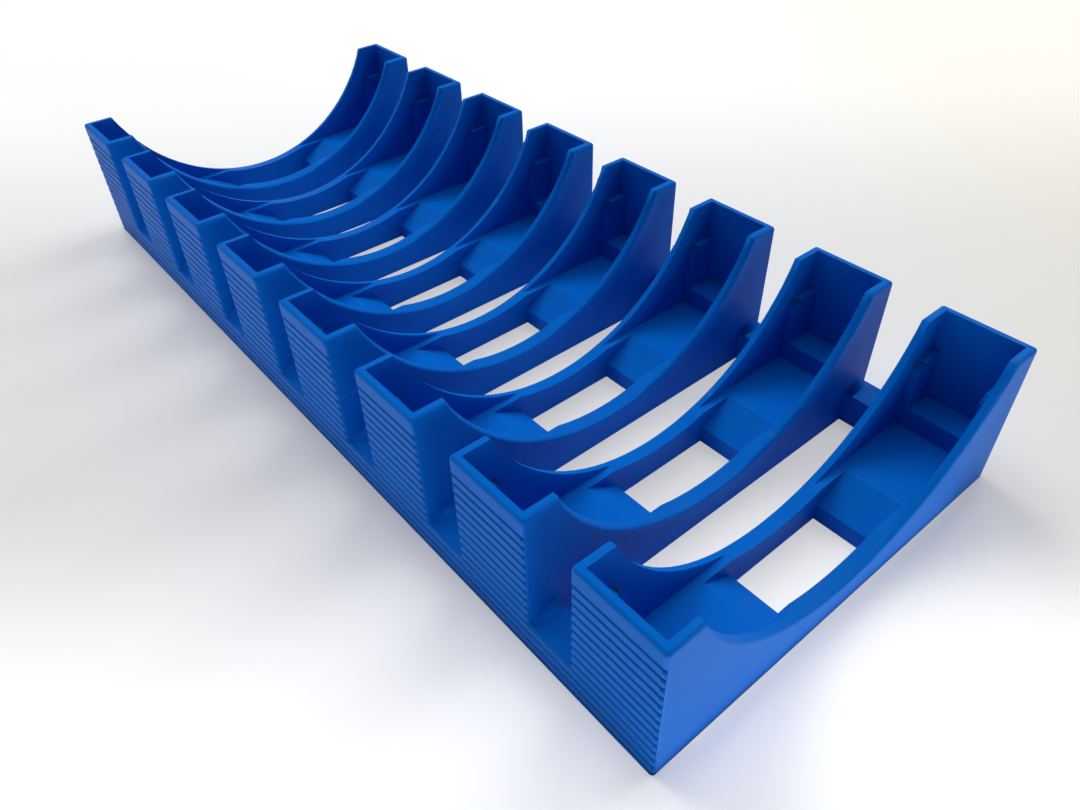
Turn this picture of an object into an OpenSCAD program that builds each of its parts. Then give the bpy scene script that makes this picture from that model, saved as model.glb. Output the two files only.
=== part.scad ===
// Petri dish rack: a row of open-topped channels that hold round dishes on edge.
// The channels stand side by side and are joined at the foot by a front bar and a rear bar,
// all as one moulded piece. X runs along the row, Y from front to rear, Z up.
// The origin is at the bottom centre of the rack.

/* [Row] */
// Number of channels
channel_count = 8; // [2:1:12]
// Distance from one channel to the next, centre to centre
channel_pitch = 40; // [34:0.5:60]

/* [Channel] */
// Outside width of a channel, along the row
channel_w = 25.7; // [22:0.1:30]
// Outside depth of a channel, front to rear
channel_d = 131; // [124:0.1:160]
// Height of the level rims above the table
channel_h = 44.7; // [38:0.1:60]
// Thickness of the side walls
side_wall = 2.3; // [1.6:0.1:3.5]
// Thickness of the front and rear walls
end_wall = 2.2; // [1.6:0.1:6]
// Rounding of the outside edges and corners
edge_r = 1; // [0.6:0.1:1.5]

/* [Dip in the side walls] */
// Radius of the round dip that bares the dish for the fingers
dip_r = 60.4; // [50:0.1:61]
// Height of the lowest point of the dip
dip_h = 8.6; // [6:0.1:16]

/* [Floor] */
// Height of the level floor
floor_h = 11.2; // [9:0.1:16]
// Width of the ledge left beside the pocket, inside the side wall
ledge_w = 2.3; // [1:0.1:4]
// Length of the pocket where it leaves the level floor
pocket_l = 56; // [44:0.1:70]
// Length of the hole through the bottom of the pocket
hole_l = 34.7; // [20:0.1:40]
// Height of the upright edge round the hole
hole_edge_h = 5.3; // [2:0.1:8]

/* [End blocks] */
// Length of the raised block at each end of the floor, from the wall's inner face
block_l = 9.1; // [4:0.1:16]
// Height of the block's top above the level floor
block_rise = 6; // [2:0.1:10]
// Height of the side pads above the block
pad_rise = 15; // [6:0.1:17]
// Rounding of each pad's upper corner
pad_corner_r = 2; // [1:0.1:4]

/* [Cross bars] */
// Height of the bars
bar_h = 10; // [8:0.1:14]
// Depth of each bar, front to rear
bar_d = 9.8; // [5:0.1:20]
// Rounding where a bar meets the channels
bar_fillet_r = 2; // [1:0.1:3]

/* [Front grooves] */
// Height of the lowest groove above the table
groove_foot = 0.93; // [0.8:0.01:3]
// Distance from one groove to the next
groove_pitch = 2.97; // [2:0.01:6]
// Depth of a groove
groove_depth = 0.5; // [0.2:0.05:0.8]
// Width of a groove at the face
groove_w = 1; // [0.5:0.05:1.2]
// Plain band left above the highest groove
groove_top_band = 4; // [3:0.1:10]

/* [Hidden] */
$fn = 96;
// Overrun that carries every cut clear of the faces
cut = 1;
row_l = (channel_count - 1) * channel_pitch + channel_w;
slot_w = channel_pitch - channel_w;
inner_w = channel_w - 2 * side_wall;
inner_d = channel_d - 2 * end_wall;
pocket_w = inner_w - 2 * ledge_w;
open_l = inner_d - 2 * block_l;
dip_z = dip_h + dip_r;
// Centre of the rounding at an upper corner
rim_z = channel_h - edge_r;
corner_x = channel_w / 2 - edge_r;
corner_y = channel_d / 2 - edge_r;
groove_zs = [for (z = groove_foot; z < channel_h - groove_top_band; z = z + groove_pitch) z];

// Stands a flat outline (front to rear, up) on edge and gives it a width along the row
module across(width) {
    rotate([90, 0, 90])
        linear_extrude(height = width, center = true)
            children();
}

// Plan of one channel, with round corners
module plan_outline() {
    square([channel_w, channel_d - 2 * edge_r], center = true);
    square([channel_w - 2 * edge_r, channel_d], center = true);
    for (x = [-1, 1], y = [-1, 1])
        translate([x * corner_x, y * corner_y])
            circle(r = edge_r);
}

// Block with its upright corners and top edges rounded
module rounded_block() {
    linear_extrude(height = rim_z)
        plan_outline();
    translate([-corner_x, -corner_y, rim_z - cut])
        cube([2 * corner_x, 2 * corner_y, edge_r + cut]);
    for (side = [-1, 1]) {
        translate([side * corner_x, 0, rim_z])
            rotate([90, 0, 0])
                cylinder(h = 2 * corner_y, r = edge_r, center = true);
        translate([0, side * corner_y, rim_z])
            rotate([0, 90, 0])
                cylinder(h = 2 * corner_x, r = edge_r, center = true);
        for (x = [-1, 1])
            translate([x * corner_x, side * corner_y, rim_z])
                sphere(r = edge_r);
    }
}

// Space of the round dip through one channel, flared so that it leaves its outside edges rounded
module dip_space() {
    translate([0, 0, dip_z])
        rotate([0, 90, 0])
            rotate_extrude()
                difference() {
                    union() {
                        translate([0, -channel_w / 2 - cut])
                            square([dip_r, channel_w + 2 * cut]);
                        for (side = [-1, 1])
                            translate([dip_r - cut, side > 0 ? corner_x : -channel_w / 2 - cut])
                                square([edge_r + cut, edge_r + cut]);
                    }
                    for (side = [-1, 1])
                        translate([dip_r + edge_r, side * corner_x])
                            circle(r = edge_r);
                }
}

// Space inside one channel above its level floor
module channel_space() {
    translate([-inner_w / 2, -inner_d / 2, floor_h])
        cube([inner_w, inner_d, channel_h]);
}

// Pocket in the floor: a ramp at each end leads down to a hole through the bottom
module pocket() {
    across(pocket_w)
        polygon([
            [-hole_l / 2, -cut], [hole_l / 2, -cut], [hole_l / 2, hole_edge_h],
            [pocket_l / 2, floor_h], [pocket_l / 2, floor_h + cut],
            [-pocket_l / 2, floor_h + cut], [-pocket_l / 2, floor_h], [-hole_l / 2, hole_edge_h]
        ]);
}

// Outline of a side pad, which starts under the floor and has a rounded upper corner
module pad_outline() {
    pad_l = block_l + end_wall / 2;
    pad_top = block_rise + pad_rise;
    translate([0, -cut])
        square([pad_l, pad_top - pad_corner_r + cut]);
    translate([pad_corner_r, 0])
        square([pad_l - pad_corner_r, pad_top]);
    translate([pad_corner_r, pad_top - pad_corner_r])
        circle(r = pad_corner_r);
}

// Raised block across the rear end of the floor, with a pad up each side wall
module end_block() {
    translate([-channel_w / 2 + side_wall / 2, open_l / 2, floor_h - cut])
        cube([channel_w - side_wall, block_l + end_wall / 2, block_rise + cut]);
    for (side = [-1, 1])
        translate([side * (inner_w / 2 - ledge_w + (ledge_w + side_wall / 2) / 2), open_l / 2, floor_h])
            across(ledge_w + side_wall / 2)
                pad_outline();
}

// One channel, centred on the origin
module channel() {
    difference() {
        rounded_block();
        dip_space();
        channel_space();
        pocket();
    }
    for (turn = [0, 180])
        rotate([0, 0, turn])
            end_block();
}

// Cross-section of a bar between two channels, with a rounding up each channel's side
module bar_section() {
    translate([-slot_w / 2 - edge_r, 0])
        square([slot_w + 2 * edge_r, bar_h]);
    for (side = [-1, 1])
        translate([side * slot_w / 2, bar_h])
            difference() {
                translate([side > 0 ? -bar_fillet_r : 0, 0])
                    square(bar_fillet_r);
                translate([-side * bar_fillet_r, bar_fillet_r])
                    circle(r = bar_fillet_r);
            }
}

// Space outside a bar: it rounds the outer top edge and slopes off the side roundings behind it
module bar_end_space() {
    across(slot_w + 2 * edge_r + 2 * cut)
        difference() {
            polygon([
                [-cut, -edge_r], [edge_r, -edge_r], [edge_r, 0],
                [edge_r + bar_fillet_r + cut, bar_fillet_r + cut], [-cut, bar_fillet_r + cut]
            ]);
            translate([edge_r, -edge_r])
                circle(r = edge_r);
        }
}

// One bar across a slot, with its outer face flush with the channels
module bar() {
    translate([0, -channel_d / 2, 0])
        difference() {
            translate([0, bar_d, 0])
                rotate([90, 0, 0])
                    linear_extrude(height = bar_d)
                        bar_section();
            translate([0, 0, bar_h])
                bar_end_space();
        }
}

// One groove along the whole front
module groove(z) {
    translate([0, -channel_d / 2, z])
        across(row_l + 2 * cut)
            polygon([[-cut, -groove_w / 2], [0, -groove_w / 2], [groove_depth, 0],
                [0, groove_w / 2], [-cut, groove_w / 2]]);
}

module rack() {
    color("royalblue")
        difference() {
            union() {
                for (i = [0:channel_count - 1])
                    translate([(i - (channel_count - 1) / 2) * channel_pitch, 0, 0])
                        channel();
                for (i = [1:channel_count - 1])
                    translate([(i - channel_count / 2) * channel_pitch, 0, 0]) {
                        bar();
                        mirror([0, 1, 0])
                            bar();
                    }
            }
            for (z = groove_zs)
                groove(z);
        }
}

rack();
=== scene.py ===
import math

import bmesh
import bpy
from mathutils import Matrix, Vector


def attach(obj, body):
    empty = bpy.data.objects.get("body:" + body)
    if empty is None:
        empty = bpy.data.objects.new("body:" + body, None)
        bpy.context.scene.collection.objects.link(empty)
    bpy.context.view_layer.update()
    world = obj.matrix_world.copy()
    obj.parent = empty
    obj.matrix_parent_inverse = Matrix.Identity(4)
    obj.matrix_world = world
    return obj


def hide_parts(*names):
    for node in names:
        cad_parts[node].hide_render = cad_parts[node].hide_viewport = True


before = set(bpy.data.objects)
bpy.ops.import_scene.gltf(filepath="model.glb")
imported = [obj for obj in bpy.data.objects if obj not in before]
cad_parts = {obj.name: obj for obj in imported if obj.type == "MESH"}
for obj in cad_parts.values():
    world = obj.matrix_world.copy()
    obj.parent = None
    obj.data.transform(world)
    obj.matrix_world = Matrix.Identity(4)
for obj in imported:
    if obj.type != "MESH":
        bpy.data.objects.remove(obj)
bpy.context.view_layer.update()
print("frame loaded")


class Wire:  # a node's output, or a plain number, that takes part in Python sums
    def __init__(self, tree, value):
        self.tree = tree
        self.value = value

    def maths(self, operation, *others):
        node = self.tree.nodes.new("ShaderNodeMath")
        node.operation = operation
        for slot, value in zip(node.inputs, (self, *others)):
            plug(self.tree, slot, value)
        return Wire(self.tree, node.outputs[0])

    def __add__(self, other):
        return self.maths("ADD", other)

    __radd__ = __add__

    def __sub__(self, other):
        return self.maths("SUBTRACT", other)

    def __rsub__(self, other):
        return Wire(self.tree, other).maths("SUBTRACT", self)

    def __mul__(self, other):
        return self.maths("MULTIPLY", other)

    __rmul__ = __mul__

    def choose(self, whenOne, whenZero):
        return (1 - self) * whenZero + self * whenOne


def plug(tree, slot, value):  # a wire is linked, a plain value is set
    if isinstance(value, Wire) and isinstance(value.value, bpy.types.NodeSocket):
        tree.links.new(value.value, slot)
    elif isinstance(value, Wire):
        slot.default_value = value.value
    else:
        slot.default_value = value


class Material:  # writes the nodes of one tree, a material's or the world's
    def __init__(self, tree):
        self.tree = tree

    def node(self, kind, settings=None, output=0, **inputs):  # _ stands for a space, slot2 for input 2
        node = self.tree.nodes.new("ShaderNode" + kind)
        for name, value in (settings or {}).items():
            setattr(node, name, value)
        for name, value in inputs.items():
            slot = int(name[4:]) if name.startswith("slot") else name.replace("_", " ")
            plug(self.tree, node.inputs[slot], value)
        return Wire(self.tree, node.outputs[output])

    def blend(self, factor, first, second):
        return self.node("Mix", {"data_type": "RGBA"}, output=2, slot0=factor, slot6=first, slot7=second)

    def ramp(self, value, ends):
        start, full = ends
        settings = {"interpolation_type": "SMOOTHSTEP"}
        return self.node("MapRange", settings, Value=value, From_Min=start, From_Max=full)

    def vector(self, operation, first, second):
        return self.node("VectorMath", {"operation": operation}, slot0=first, slot1=second)

    def length(self, vector):
        return self.node("VectorMath", {"operation": "LENGTH"}, output=1, slot0=vector)

    def finish(self, surface, kind="Material"):
        output = self.tree.nodes.new("ShaderNodeOutput" + kind)
        plug(self.tree, output.inputs["Surface"], surface)


def newMaterial(name):
    block = bpy.data.materials.new(name)
    block.use_nodes = True
    block.node_tree.nodes.clear()
    return block, Material(block.node_tree)


bluePlastic = {
    "colour": (0.0, 0.123, 0.565, 1.0),
    "second": (0.001, 0.133, 0.585, 1.0),
    "scuffed": (0.035, 0.20, 0.68, 1.0),
    "dust": (0.55, 0.60, 0.68, 1.0),
    "roughness": 0.5,
    "roughnessSpread": 0.12,
    "refraction": 1.46,
    "shine": 0.12,  # specular level
    "shineColour": (0.35, 0.75, 1.0, 1.0),
    "cloudScale": 45.0,
    "cloudDetail": 4.0,
    "grainScale": 1500.0,
    "grainDetail": 2.0,
    "grainHeight": 0.00002,
    "grainStrength": 0.6,
    "scratchScale": 60.0,
    "scratchDetail": 5.0,
    "scratchStretch": (0.25, 1.0, 9.0),  # long across the faces, thin up and down
    "scratchBand": (0.66, 0.74),  # noise values where a scratch starts and is full
    "scratchShare": 0.3,
    "dustScale": 110.0,
    "dustBand": (0.022, 0.012),  # distance from the middle of a speck, in cells
    "dustChoice": (0.86, 0.88),  # cells over this value hold a speck
    "dustShare": 0.75,
    "dustRoughness": 0.3,  # added where a speck lies
    "mark": (0.1428, 0.0633, 0.0401),  # the light scuff inside the end channel's rear wall
    "markSize": (0.0018, 0.001, 0.00022),
    "markBand": (1.0, 0.5),  # shares of its size where it starts and is full
    "markShare": 0.6,
}


def makeBluePlastic():
    look = bluePlastic
    block, material = newMaterial("BluePlastic")
    place = material.node("TexCoord", output=3)  # object coordinates
    cloud = material.node("TexNoise", Vector=place, Scale=look["cloudScale"], Detail=look["cloudDetail"])
    grain = material.node("TexNoise", Vector=place, Scale=look["grainScale"], Detail=look["grainDetail"])
    normal = material.node(
        "Bump", Height=grain, Distance=look["grainHeight"], Strength=look["grainStrength"]
    )
    colour = material.blend(cloud, look["colour"], look["second"])

    stretched = material.vector("MULTIPLY", place, look["scratchStretch"])
    scratch = material.node(
        "TexNoise", Vector=stretched, Scale=look["scratchScale"], Detail=look["scratchDetail"]
    )
    scratch = material.ramp(scratch, look["scratchBand"]) * look["scratchShare"]
    fromMark = material.vector("SUBTRACT", place, look["mark"])
    fromMark = material.length(material.vector("DIVIDE", fromMark, look["markSize"]))
    mark = material.ramp(fromMark, look["markBand"]) * look["markShare"]
    colour = material.blend(scratch + mark, colour, look["scuffed"])

    cells = {"Vector": place, "Scale": look["dustScale"]}
    fromCell = material.node("TexVoronoi", {"feature": "F1"}, output=0, **cells)
    cellValue = material.node("TexVoronoi", {"feature": "F1"}, output=1, **cells)
    chosen = material.ramp(material.node("SeparateColor", Color=cellValue), look["dustChoice"])
    speck = material.ramp(fromCell, look["dustBand"]) * chosen * look["dustShare"]
    colour = material.blend(speck, colour, look["dust"])

    roughness = (cloud - 0.5) * look["roughnessSpread"] + look["roughness"] + speck * look["dustRoughness"]
    surface = material.node(
        "BsdfPrincipled",
        Base_Color=colour,
        Roughness=roughness,
        Normal=normal,
        IOR=look["refraction"],
        Specular_IOR_Level=look["shine"],
        Specular_Tint=look["shineColour"],
    )
    material.finish(surface)
    return block


rackBody = {
    "weld": 0.000002,  # joins the CAD mesh's loose triangles
    "dipReach": 0.054,  # metres from the middle; the dips' roundings lie inside this
    "sliver": 0.00015,  # steps narrower than this are closed up there
    "flatAngle": 0.2,  # degrees; triangles of one flat face are merged
    "sharpAngle": 20.0,  # degrees; edges sharper than this stay crisp between large faces
    "cornerAngle": 60.0,  # degrees; the same where a face is small, as on the roundings
    "flatFace": 0.000004,  # square metres; the smallest large face
    "longEdge": 0.0015,  # shorter edges are never crisp
    "edgeRound": 0.0003,  # the widest round on a crisp edge; short edges beside it clamp it far below this
    "edgeSteps": 2,
    "flatWeight": 50,  # how far the larger face sets the shading of an edge between two
}


def makeRack(plastic):
    shape = bmesh.new()
    shape.from_mesh(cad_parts["rack"].data)
    bmesh.ops.remove_doubles(shape, verts=shape.verts, dist=rackBody["weld"])
    dipEdges = [
        edge for edge in shape.edges if max(abs(vert.co.y) for vert in edge.verts) < rackBody["dipReach"]
    ]
    bmesh.ops.dissolve_degenerate(shape, dist=rackBody["sliver"], edges=dipEdges)
    bmesh.ops.dissolve_limit(
        shape, angle_limit=math.radians(rackBody["flatAngle"]), verts=shape.verts, edges=shape.edges
    )
    for face in shape.faces:
        face.smooth = True
    share = shape.edges.layers.float.new("bevel_weight_edge")
    for edge in shape.edges:
        if not edge.is_manifold or edge.calc_length() < rackBody["longEdge"]:
            continue
        smallest = min(face.calc_area() for face in edge.link_faces)
        limit = rackBody["sharpAngle"] if smallest > rackBody["flatFace"] else rackBody["cornerAngle"]
        if edge.calc_face_angle() > math.radians(limit):
            edge[share] = 1.0
    mesh = bpy.data.meshes.new("RackBody")
    shape.to_mesh(mesh)
    shape.free()
    piece = bpy.data.objects.new("RackBody", mesh)
    bpy.context.scene.collection.objects.link(piece)
    mesh.materials.clear()
    mesh.materials.append(plastic)
    rounding = piece.modifiers.new("edgeRound", "BEVEL")
    rounding.limit_method = "WEIGHT"
    rounding.width = rackBody["edgeRound"]
    rounding.segments = rackBody["edgeSteps"]
    rounding.use_clamp_overlap = True
    rounding.harden_normals = False
    weighted = piece.modifiers.new("flatFaces", "WEIGHTED_NORMAL")
    weighted.keep_sharp = True
    weighted.weight = rackBody["flatWeight"]
    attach(piece, "root")
    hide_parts("rack")
    return piece


rack = makeRack(makeBluePlastic())
print("rack made", len(rack.data.polygons), "faces")

studio = {
    "floorSize": 8.0,
    "floorColour": (0.95, 0.95, 0.95, 1.0),
    "floorSeen": 0.95,  # the whole level of the floor as the camera sees it
    "floorWhite": (1.0, 1.0, 1.0, 1.0),
    "floorView": (-0.778, 0.629),  # direction along which the floor's painted light and shade change
    "floorShadeMiddle": 0.84,  # painted shade: brightness of the darker band in the middle
    "floorNearLightGain": 0.46,  # painted light that the near side adds
    "floorNear": (-0.07, -0.165),  # metres along that direction where the near side starts and is full
    "floorFarLightGain": 0.18,  # painted light that the far side adds
    "floorFar": (0.02, 0.22),  # metres, the same for the far side
    "floorFade": (0.5, 0.9),  # distances from the rack where plain white starts and is full
    "floorShadowLift": 0.2,  # share of plain white glow, painted light that lifts the floor's shadows
    "floorShadowLiftInside": 0.35,  # painted light added where the floor is seen through the rack, lifting the shade under it
    "floorInside": (0.066, 0.05),  # metres from the middle, front to rear
    "floorInsideEnd": (0.156, 0.15),
    "floorWarmWhite": (1.0, 0.975, 0.89, 1.0),
    "floorWarmLean": 0.8,  # how far the warm side leans towards +X
    "floorWarm": (0.15, 0.35),  # metres to the rear where the warm tint starts and is full
    "ambient": (1.0, 1.0, 1.0, 1.0),
    "ambientStrength": 0.08,
    "backdropStrength": 1.0,
    "mirrorStrength": 0.6,  # the low band of the room that the plastic mirrors
    "mirrorBand": (0.5, 0.3),  # heights of direction where the band starts and is full
}
lamps = {  # azimuth from +X and elevation in degrees, distance and size in metres, power in watts
    "Overhead": {"azimuth": 0, "elevation": 90, "distance": 2.0, "size": 1.5, "power": 7.0},
    "RearHigh": {"azimuth": 90, "elevation": 50, "distance": 2.0, "size": 1.5, "power": 13.5},
    "FarHigh": {"azimuth": 180, "elevation": 50, "distance": 2.0, "size": 1.5, "power": 24.0},
    "NearLow": {"azimuth": -8, "elevation": 8, "distance": 2.0, "size": 0.6, "power": 4.6},
    "RearLow": {"azimuth": 90, "elevation": 18, "distance": 2.0, "size": 0.9, "power": 9.0},
}
bounces = {  # sheets on the floor that stand for its brighter patches, facing up
    "NearBounce": {"at": (0.2145, -0.025, 0.0005), "length": 0.12, "width": 0.145, "power": 0.08},
    "FrontBounce": {"at": (0.06, -0.18, 0.0005), "length": 0.4, "width": 0.2, "power": 0.19},
}
cameraSetup = {
    "at": (0.2027, -0.13255, 0.1741),
    "right": (0.6438, 0.7649, -0.0227),
    "forward": (-0.5849, 0.4727, -0.6591),
    "lens": 28.34,
    "sensor": 36.0,
    "clipStart": 0.01,
}


def makeFloorPaper():
    look = studio
    block, material = newMaterial("FloorPaper")
    place = material.node("TexCoord", output=3)
    x = material.node("SeparateXYZ", output=0, Vector=place)
    y = material.node("SeparateXYZ", output=1, Vector=place)
    viewX, viewY = look["floorView"]
    along = x * viewX + y * viewY
    away = material.ramp(material.length(place), look["floorFade"])

    # painted light and shade: the floor as the camera sees it is darker in a band across the middle and
    # brighter towards the near and far sides
    level = material.ramp(along, look["floorNear"]) * look["floorNearLightGain"] + look["floorShadeMiddle"]
    level = level + material.ramp(along, look["floorFar"]) * look["floorFarLightGain"]
    level = away.choose(1.0 / look["floorSeen"], level)
    warmth = material.ramp(y + x * look["floorWarmLean"], look["floorWarm"]) * (1 - away)
    tint = material.blend(warmth, look["floorWhite"], look["floorWarmWhite"])
    brightness = level * look["floorSeen"]
    seenColour = material.node("VectorMath", {"operation": "SCALE"}, slot0=tint, Scale=brightness)

    inside = material.ramp(y, look["floorInside"]) * material.ramp(y * -1, look["floorInside"])
    inside = inside * material.ramp(x, look["floorInsideEnd"])
    # painted light: a share of the seen floor glows as plain emission, lifting its shadows, more where it
    # lies under the rack
    shadowLift = away.choose(1.0, inside * look["floorShadowLiftInside"] + look["floorShadowLift"])
    shaded = material.node("BsdfDiffuse", Color=seenColour)
    plain = material.node("Emission", Color=seenColour)
    seen = material.node("MixShader", slot0=shadowLift, slot1=shaded, slot2=plain)
    paper = material.node("BsdfDiffuse", Color=look["floorColour"])
    cameraRay = material.node("LightPath", output=0)
    material.finish(material.node("MixShader", slot0=cameraRay, slot1=paper, slot2=seen))
    return block


def makeFloor():
    shape = bmesh.new()
    bmesh.ops.create_grid(shape, x_segments=1, y_segments=1, size=studio["floorSize"] / 2)
    mesh = bpy.data.meshes.new("Floor")
    shape.to_mesh(mesh)
    shape.free()
    mesh.materials.append(makeFloorPaper())
    floor = bpy.data.objects.new("Floor", mesh)
    bpy.context.scene.collection.objects.link(floor)


def makeWorld():
    world = bpy.data.worlds.new("Studio")
    bpy.context.scene.world = world
    world.use_nodes = True
    world.node_tree.nodes.clear()
    sky = Material(world.node_tree)
    cameraRay = sky.node("LightPath", output=0)
    glossyRay = sky.node("LightPath", output=3)
    height = sky.node("SeparateXYZ", output=2, Vector=sky.node("TexCoord", output=0))
    band = sky.ramp(height, studio["mirrorBand"]) * studio["mirrorStrength"]
    glow = cameraRay.choose(studio["backdropStrength"], glossyRay.choose(band, studio["ambientStrength"]))
    sky.finish(sky.node("Background", Color=studio["ambient"], Strength=glow), "World")


def addLamp(name, settings, place, turn, seen):
    data = bpy.data.lights.new(name, "AREA")
    for setting, value in settings.items():
        setattr(data, setting, value)
    light = bpy.data.objects.new(name, data)
    light.location = place
    light.rotation_euler = turn
    light.visible_camera = seen
    light.visible_glossy = False
    bpy.context.scene.collection.objects.link(light)


def makeLamps():
    for name, lamp in lamps.items():
        azimuth = math.radians(lamp["azimuth"])
        elevation = math.radians(lamp["elevation"])
        level = math.cos(elevation)
        along = Vector((math.cos(azimuth) * level, math.sin(azimuth) * level, math.sin(elevation)))
        settings = {"shape": "DISK", "size": lamp["size"], "energy": lamp["power"]}
        turn = (-along).to_track_quat("-Z", "Y").to_euler()
        addLamp(name, settings, along * lamp["distance"], turn, True)
    for name, sheet in bounces.items():
        sides = {"size": sheet["length"], "size_y": sheet["width"]}
        settings = {"shape": "RECTANGLE", **sides, "energy": sheet["power"]}
        addLamp(name, settings, sheet["at"], (math.pi, 0.0, 0.0), False)


def makeCamera():
    right = Vector(cameraSetup["right"]).normalized()
    back = -Vector(cameraSetup["forward"]).normalized()
    up = back.cross(right).normalized()
    turn = Matrix((right, up, back)).transposed()
    data = bpy.data.cameras.new("Camera")
    data.sensor_width = cameraSetup["sensor"]
    data.lens = cameraSetup["lens"]
    data.clip_start = cameraSetup["clipStart"]
    camera = bpy.data.objects.new("Camera", data)
    camera.matrix_world = Matrix.Translation(cameraSetup["at"]) @ turn.to_4x4()
    bpy.context.scene.collection.objects.link(camera)
    bpy.context.scene.camera = camera


makeFloor()
makeWorld()
makeLamps()
makeCamera()
bpy.context.scene.view_settings.view_transform = "Standard"
print("stage made")
